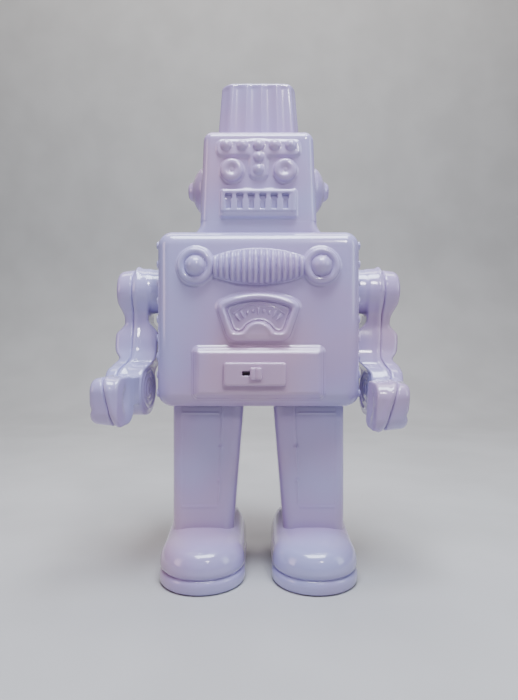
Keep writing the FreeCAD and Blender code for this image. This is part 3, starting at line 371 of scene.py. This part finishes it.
def make_grille():
    low, high, middle, half = relief_box("chest_grille")
    ribs = 15
    pitch = 2 * half[0] / ribs

    def along(x):
        return np.clip(np.abs(x) / (half[0] + 1.5), 0, 1)

    def profile(x, z):
        reach = (half[2] + 0.4) * (1 - 0.46 * along(x) ** 2)
        body = 7.6 * (1 - 0.42 * along(x) ** 2) * np.clip(1 - ((z - middle[2]) / (reach + 0.8)) ** 2, 0, 1) ** 0.5
        groove = np.abs(np.sin(math.pi * (x / pitch + 0.5 * (ribs + 1)))) ** 0.8
        return body - 2.4 * (1 - groove) * np.clip(body / 3, 0, 1)

    def outline(x, z):
        reach = (half[2] + 0.4) * (1 - 0.46 * along(x) ** 2)
        return smax(np.abs(z - middle[2]) - reach, np.abs(x) - half[0] - 2.0, 2.0)

    relief("chest_grille_ribs", outline, CHEST, profile, low, (high[0], 8, high[2]), 0.45, "torso", "chest_grille",
           edge=0.9, foot=1.0)


def make_gauge():
    low, high, _, half = relief_box("gauge_bezel")
    top_r = 52.0
    top_z = high[2] - top_r

    def fan(x, z, inset, sill, corner):
        lean = (half[0] - 16.6) / 21.0
        side = (np.abs(x) - 17.2 - (z - low[2]) * lean + inset) / math.hypot(1, lean)
        arch = length(x, z - top_z) - top_r + inset
        return smax(smax(side, arch, corner), low[2] + sill - z, corner)

    def window(x, z):
        opening = fan(x, z, 4.5, 5.6, 2.6)
        hump = length(x, z - low[2] - 2.6) - 9.3
        return smax(opening, -hump, 2.2)

    def carve(form, x, out, z):
        w = window(x, z)
        floor = 1.6 + 0 * x
        dial = z - (low[2] - 2)
        radial = length(x, dial)
        angle = np.arctan2(x, dial)
        ticks = np.clip(np.cos(angle * 40) * 1.6 - 0.2, 0, 1)
        tall = np.where(np.cos(angle * 11.5) > 0.1, 1.0, 0.45)
        band = np.clip(1 - np.abs(radial - 20.2) / (2.6 * tall), 0, 1) * (np.abs(angle) < 0.66)
        arc = bump(radial - 23.6, 0.35) * (np.abs(angle) < 0.68)
        floor = floor + 1.4 * np.clip(ticks * band * 2, 0, 1) + 0.7 * arc + 0.7 * bump(w + 1.3, 0.4)
        well = smax(w, floor - out, 1.2)
        return smax(form, -well, 1.8)

    relief("gauge", lambda x, z: fan(x, z, 0, 0, 5.5), CHEST,
           lambda x, z: 3.9 + 0.9 * bump(window(x, z) - 1.6, 1.5) - 1.0 * np.clip((low[2] + 4.5 - z) / 4, 0, 1),
           low, (high[0], 6, high[2]), 0.4, "torso", ["gauge_bezel", "gauge_dial"], edge=2.6, foot=1.6, carve=carve)


STEM = (3.0, 1.8)


def make_panels():
    low, high, middle, half = relief_box("control_panel")

    def panel_height(x, z):
        edge = -rect(x, z - middle[2], half[0], half[2], 3.0)
        return 3.2 + 2.0 * np.clip((edge - 1.2) / 2.4, 0, 1) ** 0.7

    lever_low, lever_high = box_mm("switch_lever")
    lever_x = (lever_low[0] + lever_high[0]) / 2
    track_low, track_high = lever_x - STEM[0] / 2 - 6.5, lever_x + STEM[0] / 2 + 0.5
    track_x, track_half = (track_low + track_high) / 2, (track_high - track_low) / 2
    lever_z = (lever_low[2] + lever_high[2]) / 2
    track_h = STEM[1] / 2 + 0.4

    def track(form, x, out, z, floor, soft):
        """Cuts the lever's slot down to a floor."""
        slot = rect(x - track_x, z - lever_z, track_half, track_h, 0.8)
        return smax(form, -smax(slot, floor - out, soft), 0.5)

    relief("control_panel_plate", lambda x, z: rect(x, z - middle[2], half[0], half[2], 3.0), CHEST, panel_height,
           low, (high[0], 7, high[2]), 0.6, "torso", "control_panel", edge=2.2, foot=1.6,
           carve=lambda form, x, out, z: track(form, x, out, z, 2.2, 0.5))

    plate_low, plate_high = box_mm("switch_plate")
    centre, size = (plate_low + plate_high) / 2, (plate_high - plate_low) / 2
    relief("switch_plate_cover", lambda x, z: rect(x - centre[0], z - centre[2], size[0], size[2], 1.8), CHEST,
           lambda x, z: 9.0 + 0 * x, (plate_low[0], 0, plate_low[2]), (plate_high[0], 10, plate_high[2]), 0.45,
           "torso", "switch_plate", edge=1.8, foot=0.1,
           carve=lambda form, x, out, z: np.maximum(track(form, x, out, z, 3.2, 0.6), 4.0 - out))

    def knob(x, y, z):
        half_x, half_z = (lever_high[0] - lever_low[0]) / 2, (lever_high[2] - lever_low[2]) / 2
        body = rect(x - lever_x, z - lever_z, half_x, half_z, 1.2)
        notch = 0.9 * bump(x - lever_x + 0.4, 0.8)
        cap = smax(smax(body, lever_low[1] + notch - y, 1.6), y - lever_low[1] - 2.9, 0.4)
        stem = np.maximum(rect(x - lever_x, z - lever_z, STEM[0] / 2, STEM[1] / 2, 0.4), lever_low[1] + 1 - y)
        return smax(np.minimum(cap, stem), y - lever_high[1], 0.4)

    solid("switch_knob", knob, lever_low, lever_high, 0.3, "switch", "switch_lever")


# ---------------------------------------------------------------- head
head_low, head_high = box_mm("head_front_shell")
head_back_high = box_mm("head_back_shell")[1]
HEAD_HALF = np.array([head_high[0], MID_Y - head_low[1], (head_high[2] - head_low[2]) / 2])
HEAD_Z = (head_high[2] + head_low[2]) / 2
FACE = head_low[1]
TAPER = 2.2 / (2 * HEAD_HALF[2])


def head_form(x, y, z):
    half_x = HEAD_HALF[0] + 0.2 - TAPER * (z - head_low[2])
    tall = HEAD_HALF + [0, 0, 5]
    return np.maximum(block(x * HEAD_HALF[0] / half_x, y - MID_Y, z - HEAD_Z + 5, *tall, 5.5), head_low[2] - z)


def face_bow(x, z):
    return 0.5 * (1 - np.clip(x / HEAD_HALF[0], -1, 1) ** 2) * (1 - np.clip((z - HEAD_Z) / HEAD_HALF[2], -1, 1) ** 2)


def make_head():
    def form(x, y, z):
        return head_form(x, y, z) - face_bow(x, z) * (np.abs(y - MID_Y) / HEAD_HALF[1]) ** 4

    solid("head_front", lambda x, y, z: smax(form(x, y, z), y - MID_Y, 0.5), head_low - [0, 1, 0], head_high, 0.8,
          "torso", "head_front_shell")
    solid("head_back", lambda x, y, z: smax(form(x, y, z), MID_Y - y, 0.5), (head_low[0], MID_Y, head_low[2]),
          head_back_high + [0, 1, 0], 0.8, "torso", "head_back_shell")

    low, high = box_mm("neck_collar")

    def collar(x, y, z):
        t = np.clip((high[2] - z) / (high[2] - low[2]), 0, 1.3)
        flare = (high[0] - HEAD_HALF[0]) * t ** 2.0
        section = rect(x, y - MID_Y, HEAD_HALF[0] + 0.1 + flare, HEAD_HALF[1], 5.5 + flare * 0.4)
        return smax(smax(section, z - high[2] - 1.5, 1.0), low[2] - 0.6 - z, 0.4)

    solid("collar", collar, low - [1, 3, 0], high + [1, 3, 2], 0.7, "torso", "neck_collar")


SLOT_PITCH = 6.75


def make_face():
    low, high, middle, half = relief_box("brow_plate")
    brow_low, brow_half = high[2] - 8.8, 4.4

    def outline(x, z):
        band = rect(x, z - (high[2] - brow_half), half[0] + 0.1, brow_half + 0.2, 3.2)
        nose = rect(x, z - (low[2] + high[2]) / 2, 5.0, (high[2] - low[2]) / 2, 2.6)
        return smin(band, nose, 2.4)

    studs = [(i * 9.6, high[2] - 2.9) for i in range(-2, 3)] + [(0, high[2] - 9.9), (0, high[2] - 17.3)]

    def profile(x, z):
        height = 1.0 + 0.6 * rise((brow_low + 7.0 - z) / 6.0)
        for sx, sz in studs:
            r = length(x - sx, z - sz)
            height = smax(height, 3.9 * np.clip(1 - (r / 3.7) ** 2, 0, 1) ** 0.5, 0.7)
        return height

    relief("brow_strip", outline, FACE, profile, low, (high[0], 6, high[2]), 0.4, "torso", "brow_plate",
           edge=1.3, foot=1.2, bow=face_bow)

    low, high, middle, half = relief_box("mouth_grille")

    def mouth_height(x, z):
        inside = -rect(x, z - middle[2], half[0], half[2], 1.6)
        low_step = np.clip((z - low[2] - 2.4) / 1.2, 0, 1)
        rim = bump(inside - 2.0, 0.9)
        return 2.3 + 0.9 * low_step + 0.35 * rim

    def slots(form, x, out, z):
        across, height = x + 0.9, z - middle[2] - 0.9
        across = across - (np.clip(np.round(across / SLOT_PITCH - 0.5), -3, 2) + 0.5) * SLOT_PITCH
        slot = smin(rect(across, height, 1.45, 4.4, 0.6), rect(across, height - 2.9, 2.1, 1.5, 0.6), 0.8)
        return smax(form, -smax(slot, 1.2 - out, 0.6), 0.6)

    relief("mouth_plate", lambda x, z: rect(x, z - middle[2], half[0], half[2], 1.6), FACE, mouth_height, low,
           (high[0], 5, high[2]), 0.4, "torso", "mouth_grille", edge=1.5, foot=1.3, carve=slots, bow=face_bow)

    low, high = box_mm("eye_rings")
    radius = (high[2] - low[2]) / 2
    cz = (high[2] + low[2]) / 2
    for name, side in (("left", 1), ("right", -1)):
        cx = side * (high[0] - radius)

        def eye(x, z, cx=cx):
            r = length(x - cx, z - cz)
            ring = 3.7 * np.clip(1 - ((r - 4.3) / 3.1) ** 2, 0, 1) ** 0.5
            pupil = 2.2 + 0.6 * np.clip(1 - (r / 2.6) ** 2, 0, 1)
            return smax(ring, pupil, 1.8)

        relief(f"{name}_eye", lambda x, z, cx=cx: length(x - cx, z - cz) - radius, FACE, eye,
               (cx - radius, 0, cz - radius), (cx + radius, 4, cz + radius), 0.35, "torso",
               ["eye_rings", "eye_lenses"], edge=1.2, foot=1.4, bow=face_bow)


def make_ears():
    low, high = box_mm("ear_discs")
    knob_high = box_mm("ear_knobs")[1]
    radius = (high[2] - low[2]) / 2
    cz = (high[2] + low[2]) / 2
    for name, side in (("left", 1), ("right", -1)):
        def ear(x, y, z, side=side):
            r = length(y - MID_Y, z - cz)
            out = side * x
            rim = high[0] - 6.6 * (r / radius) ** 2.8
            disc = smax(r - radius, out - rim, 2.0)
            knob = smax(r - 5.7, out - knob_high[0] + 1.0 * (r / 5.7) ** 2, 2.4)
            return np.maximum(smin(disc, knob, 2.4), HEAD_HALF[0] - 5 - out)

        reach = sorted((side * (HEAD_HALF[0] - 6), side * (knob_high[0] + 1)))
        near, far = (reach[0], MID_Y - radius - 1, low[2] - 1), (reach[1], MID_Y + radius + 1, high[2] + 1)
        solid(f"{name}_ear", ear, near, far, 0.6, "torso", ["ear_discs", "ear_knobs"])


def rim_place(x, y, half_x, half_y, corner):
    """How far round a rounded rectangle's rim a point is, in quarters: 0 in front, 1 at the side, 2 behind."""
    u, v = np.abs(x) - half_x + corner, np.abs(y) - half_y + corner
    turn = np.arctan2(np.maximum(u, 0), np.maximum(v, 1e-6))
    quarter = half_x + half_y - 2 * corner + corner * math.pi / 2
    along = np.minimum(np.abs(x), half_x - corner) + corner * turn + np.where(u > 0, np.maximum(-v, 0), 0)
    share = np.clip(along / quarter, 0, 1)
    return np.sign(x) * np.where(y < 0, share, 2 - share)


def make_hat():
    low, high = box_mm("hat_cap")
    half_low, depth = (high[0] - low[0]) / 2, (high[1] - low[1]) / 2
    flutes_per_quarter, shift = 4, 0.2

    def hat(x, y, z):
        up = (z - low[2]) / (high[2] - low[2])
        half_x = half_low - 2.9 * up
        side = rect(x, y - MID_Y, half_x, depth, 8.5)
        turn = rim_place(x, y - MID_Y, half_x, depth, 8.5) * flutes_per_quarter - shift
        fade = np.clip((1.0 - up) / 0.10, 0, 1) ** 0.5 * np.clip((up + 0.02) / 0.05, 0, 1)
        scallop = 1.1 * np.abs(np.sin(math.pi * turn)) ** 1.25 * fade
        foot = 1.0 * np.clip(1 - (z - low[2]) / 2.2, 0, 1) ** 2
        return smax(smax(side + scallop - foot, z - high[2], 2.2), low[2] - 1.0 - z, 0.5)

    solid("hat", hat, low - [1, 1, 1], high + [1, 1, 0], 0.55, "torso", "hat_cap", sharp=80)


RIVET_COUNT = 9
RIVET_PITCH = 11.0
RIVET_INSET = 2.4


def make_rivets():
    low, high = box_mm("side_rivets")
    heights = low[2] + RIVET_INSET + RIVET_PITCH * np.arange(RIVET_COUNT)
    column = (high[1] - low[1]) / 2 - RIVET_INSET
    for name, side in (("left", 1), ("right", -1)):
        def studs(x, y, z, side=side):
            nearest = heights[np.clip(np.round((z - heights[0]) / RIVET_PITCH), 0, RIVET_COUNT - 1).astype(int)]
            away = length(np.abs(y - MID_Y) - column, z - nearest)
            out = side * x - TORSO_HALF[0]
            dome = smax(away - 2.5, out - 1.0 * np.clip(1 - (away / 2.9) ** 2, 0, 1) ** 0.7, 0.5)
            return np.maximum(dome, -0.8 - out)

        reach = sorted((side * (TORSO_HALF[0] - 1.2), side * (TORSO_HALF[0] + 2)))
        solid(f"{name}_rivets", studs, (reach[0], low[1], low[2]), (reach[1], high[1], high[2]), 0.4, "torso",
              "side_rivets")


# ---------------------------------------------------------------- arms
WRIST = (-15.0, 110.5)
ARM_SWING = {"left": math.radians(3.5), "right": 0.0}


def arm_outline(y, z):
    """Side view of the arm, y from the torso's middle: shoulder, elbow, wrist and claw with necks between."""
    shoulder = length(y, z - SHOULDER[1]) - 14.0
    elbow = length(y - 1.5, z - 139.5) - 12.8
    wrist = length(y - WRIST[0], z - WRIST[1]) - 16.2
    claw = rect(y + 51.8, z - 106.6, 12.2, 13.4, 8.5)
    upper = segment(y, z, (0, SHOULDER[1]), (1.5, 139.5), 9.8)
    lower = segment(y, z, (1.5, 139.5), WRIST, 10.5)
    palm = segment(y, z, WRIST, (-48, 111.0), 8.5)
    limb = smin(smin(shoulder, upper, 5.0), elbow, 4.0)
    hand = smin(smin(wrist, palm, 1.5), claw, 1.5)
    return smin(smin(limb, lower, 4.0), hand, 2.0)


def arm_faces(y, z):
    """X of the arm's inner face, seam and outer face, counted outwards from the robot's middle."""
    hand, claw = rise((131 - z) / 10), rise((-33 - y) / 10)
    seam = 79.3 + (5.2 - 0.8 * claw) * hand - 0.24 * claw * np.maximum(119 - z, 0)
    inner_arm = 69.9 - 6.0 * rise((154 - z) / 9)
    r = length(y - WRIST[0], z - WRIST[1])
    rings = bump(r - 12.0, 1.2) + bump(r - 7.8, 1.2) + bump(r - 3.6, 1.2)
    hollow = bump(length(y + 51, (z - 107) / 2), 3.2)
    inner_hand = 68.9 - 0.10 * (y + 15) + 0.05 * np.maximum(-40 - y, 0) - 0.6 * rings + 1.5 * hollow
    inner_hand = inner_hand - 0.9 * rise((17.2 - r) / 2)
    outer_arm = 89.6 - 4.0 * rise((166 - z) / 12) + 5.4 * rise((152 - z) / 8) - 4.0 * bump(z - 128.5, 4.0)
    outer_hand = 92.6 - 2.0 * claw - 0.9 * bump(z - 102.5, 2.0) * claw
    return inner_arm + (inner_hand - inner_arm) * hand, seam, outer_arm + (outer_hand - outer_arm) * hand


def arm_form(x, y, z, side):
    """The whole arm, x counted outwards. The left hand is turned in a little."""
    lean, turn = ARM_SWING[side], y - MID_Y
    up = z - SHOULDER[1]
    y, z = turn * math.cos(lean) + up * math.sin(lean), SHOULDER[1] - turn * math.sin(lean) + up * math.cos(lean)
    if side == "left":
        x = x + 0.06 * np.maximum(SHOULDER[1] - z, 0) + 0.10 * np.maximum(WRIST[0] - y, 0)
    inner, seam, outer = arm_faces(y, z)
    if side == "left":
        inner = inner + (3.2 - 5.7 * rise((-33 - y) / 10)) * rise((131 - z) / 10)
    off = x - seam
    bead = (0.7 + 1.3 * rise((z - 180) / 5)) * bump(off + 2.4, 1.8)
    outline = arm_outline(y, z) - bead + 0.9 * bump(off, 0.6) + 0.12 * np.maximum(off, 0)
    return smax(smax(outline, x - outer, 4.0), inner - x, 1.4), off


def make_arms():
    for side, sign in (("left", 1), ("right", -1)):
        def outer(x, y, z, side=side, sign=sign):
            form, off = arm_form(sign * x, y, z, side)
            return smax(form, -off, 0.3)

        def inner(x, y, z, side=side, sign=sign):
            form, off = arm_form(sign * x, y, z, side)
            sleeve = smax(length(y - MID_Y, z - SHOULDER[1]) - 14.3, 60.9 - sign * x, 0.8)
            form = smin(form, smax(sleeve, off + 4, 1.0), 3.0)
            return smax(form, off, 0.3)

        span_out = sorted((sign * 64.0, sign * 93.5))
        span_in = sorted((sign * 58.0, sign * 86.0))
        low, high = arm_low - [0, 2, 8], arm_high + [0, 5, 3]
        solid(f"{side}_arm_outer", outer, (span_out[0], low[1], low[2]), (span_out[1], high[1], high[2]), 0.55,
              f"{side}_arm", f"{side}_arm_outer_shell")
        solid(f"{side}_arm_inner", inner, (span_in[0], low[1], low[2]), (span_in[1], high[1], high[2]), 0.5,
              f"{side}_arm", f"{side}_arm_inner_shell")


# ---------------------------------------------------------------- legs and shoes
leg_low, leg_high = box_mm("left_leg_front_shell")
leg_back_high = box_mm("left_leg_back_shell")[1]
LEG_TOP = 101.5
LEG_LOW = 20.0
LEG_INNER_TOP = 9.0
LEG_INNER_LOW = 15.5
PANEL_LOW = 39.7
sole_low, sole_high = box_mm("left_sole")
FOOT_X = (sole_low[0] + sole_high[0]) / 2


def leg_form(x, y, z):
    inner_x = LEG_INNER_LOW + (LEG_INNER_TOP - LEG_INNER_LOW) * (z - LEG_LOW) / (LEG_TOP - LEG_LOW)
    middle, half = (leg_high[0] + inner_x) / 2, (leg_high[0] - inner_x) / 2
    depth = (leg_back_high[1] - leg_low[1]) / 2
    centre = (leg_back_high[1] + leg_low[1]) / 2
    section = rect(x - middle, y - centre, half, depth, 6.5)
    return smax(smax(section, z - LEG_TOP, 1.2), LEG_LOW - 1 - z, 0.4)


def leg_lines(x, y, z):
    """Fine raised lines of the leg's panel, on its front."""
    t = (z - PANEL_LOW) / (LEG_TOP - PANEL_LOW)
    line_x = 24.2 - 2.4 * np.clip(t, 0, 1)
    run = np.clip((z - 40.5) / 2, 0, 1) * (1 - 0.75 * bump(z - 78, 2.0)) * (1 - 0.75 * bump(z - 58, 2.0))
    upright = bump(x - line_x, 0.55) * run * 0.5
    knobs = 0.75 * (bump(length(x - line_x, z - 75.5), 1.2) + bump(length(x - line_x, z - 55.5), 1.2))
    across = 0.35 * bump(z - PANEL_LOW, 0.55) * ((x > 25.0) & (x < 46.5))
    top = 0.3 * bump(z - (LEG_TOP - 5), 0.55) * ((x > 24.0) & (x < 46.5))
    in_x = np.clip((x - line_x) / 0.8, 0, 1)
    in_z = np.clip((z - PANEL_LOW) / 0.8, 0, 1)
    panel = -0.25 * in_x * np.clip((46.8 - x) / 0.8, 0, 1) * in_z
    return (upright + knobs + across + top + panel) * (y < MID_Y - 15)


def stadium(x, y, inset):
    """Plan of the shoe."""
    radius = (sole_high[0] - sole_low[0]) / 2
    start, end = (FOOT_X, sole_low[1] + radius), (FOOT_X, sole_high[1] - radius)
    return segment(x, y, start, end, radius - inset)


def make_legs():
    for name, side in (("left", 1), ("right", -1)):
        def front(x, y, z, side=side):
            x = side * x
            return smax(leg_form(x, y, z) - leg_lines(x, y, z), y - MID_Y, 0.4)

        def back(x, y, z, side=side):
            return smax(leg_form(side * x, y, z), MID_Y - y, 0.4)

        span = sorted((side * 7.0, side * 54.0))
        low, high = (span[0], leg_low[1] - 1, LEG_LOW - 2), (span[1], MID_Y + 1, LEG_TOP + 1)
        solid(f"{name}_leg_front", front, low, high, 0.62,
              f"{name}_leg", f"{name}_leg_front_shell")
        low, high = (span[0], MID_Y - 1, LEG_LOW - 2), (span[1], leg_back_high[1] + 1, LEG_TOP + 1)
        solid(f"{name}_leg_back", back, low, high, 0.8,
              f"{name}_leg", f"{name}_leg_back_shell")

        def shoe(x, y, z, side=side):
            x = side * x
            depth = np.clip(-stadium(x, y, 0.1) / 25.1, 0, 1)
            ridge = 26.6 + np.interp(y - MID_Y, (-56, -23, 4, 34), (-3.0, 0.4, 7.2, 5.0))
            top = 12.0 + (ridge - 12.0) * (1 - (1 - depth) ** 3.1) ** 0.42
            dome = smax(z - top, stadium(x, y, 0.1) + 0.06 * np.maximum(z - 15, 0), 5.0)
            groove = 1.8 * np.clip(1 - (z - 8.2) / 3.2, 0, 1) ** 2
            return smax(smax(dome * 0.8, stadium(x, y, 0.1) + groove, 1.0), 7.6 - z, 0.6)

        def sole(x, y, z, side=side):
            x = side * x
            plan = stadium(x, y, 0.0)
            body = smax(smax(plan, z - 8.7, 4.5), -z, 3.0)
            for node in (f"{name}_front_rollers", f"{name}_rear_rollers"):
                low, high = box_mm(node)
                cy = (low[1] + high[1]) / 2
                for offset in (-12.5, 12.5):
                    well = np.maximum(rect(x - FOOT_X - offset, y - cy, 4.1, 7.0, 0.8), z - 8.2)
                    body = smax(body, -well, 0.4)
            return body

        span = sorted((side * (sole_low[0] - 1), side * (sole_high[0] + 1)))
        solid(f"{name}_shoe_upper", shoe, (span[0], sole_low[1] - 1, 7.5), (span[1], sole_high[1] + 1, 34.0), 0.7,
              f"{name}_leg", f"{name}_shoe")
        solid(f"{name}_shoe_sole", sole, (span[0], sole_low[1] - 1, -0.5), (span[1], sole_high[1] + 1, 10.0), 0.7,
              f"{name}_leg", f"{name}_sole")


# ---------------------------------------------------------------- stage, light and camera
def area_light(name, place, target, size, power, colour, spread=180):
    light = bpy.data.lights.new(name, "AREA")
    light.shape = "RECTANGLE"
    light.size, light.size_y = size
    light.energy = power
    light.color = colour
    light.spread = math.radians(spread)
    lamp = bpy.data.objects.new(name, light)
    bpy.context.scene.collection.objects.link(lamp)
    lamp.location = place
    lamp.rotation_euler = (Vector(target) - Vector(place)).to_track_quat("-Z", "Y").to_euler()
    return lamp


def make_stage():
    """A pale floor that turns up into a backdrop."""
    width, front, bend, height = 3.0, -2.0, 0.6, 2.2
    profile = [(front, 0.0)]
    profile += [(bend + 0.4 * math.sin(a), 0.4 - 0.4 * math.cos(a)) for a in np.linspace(0, math.pi / 2, 24)]
    profile.append((bend + 0.4, height))
    verts = [(x, y, z) for x in (-width, width) for y, z in profile]
    n = len(profile)
    faces = [(i, n + i, n + i + 1, i + 1) for i in range(n - 1)]
    mesh = bpy.data.meshes.new("floor")
    mesh.from_pydata(verts, [], faces)
    mesh.shade_smooth()
    floor = bpy.data.objects.new("floor", mesh)
    bpy.context.scene.collection.objects.link(floor)
    mesh.materials.append(new_material("floor", [(0.50, 0.485, 0.475), (0.54, 0.525, 0.515)], (0.6, 0.75)))


def make_light():
    world = bpy.data.worlds.new("studio")
    bpy.context.scene.world = world
    world.use_nodes = True
    world.node_tree.nodes["Background"].inputs["Color"].default_value = (0.80, 0.80, 0.88, 1)
    world.node_tree.nodes["Background"].inputs["Strength"].default_value = 0.07
    area_light("key", (0.05, -0.24, 1.0), (0, -0.02, 0.12), (0.6, 0.35), 16, (0.80, 0.88, 1.0))
    area_light("window", (0.26, -0.75, 0.80), (0, 0, 0.24), (0.12, 0.20), 0.11, (0.97, 0.94, 1.0), 23)
    area_light("left_fill", (-0.8, -0.35, 0.40), (0, 0, 0.20), (0.3, 0.5), 0.30, (1.0, 0.70, 0.86), 70)
    area_light("right_fill", (0.9, -0.30, 0.5), (0, 0, 0.20), (0.3, 0.6), 0.36, (0.76, 0.86, 1.0), 70)
    area_light("backdrop_light", (0.0, 0.4, 1.6), (0, 1.0, 0.3), (1.6, 0.5), 16, (1.0, 0.99, 0.98))


def make_camera():
    """Square in front of the torso at close range, level, a little below mid-height."""
    data = bpy.data.cameras.new("camera")
    data.sensor_width = 36.0
    data.lens = 27.05
    data.clip_start = 0.01
    camera = bpy.data.objects.new("camera", data)
    bpy.context.scene.collection.objects.link(camera)
    camera.location = (0.0003, CHEST * MM - 0.306, 0.1347)
    camera.rotation_euler = (math.pi / 2, 0, 0)
    bpy.context.scene.camera = camera


make_torso()
make_lamp("left_chest_lamp", 1)
make_lamp("right_chest_lamp", -1)
make_grille()
make_gauge()
make_panels()
make_head()
make_face()
make_ears()
make_hat()
make_rivets()
make_arms()
make_legs()
make_stage()
make_light()
make_camera()
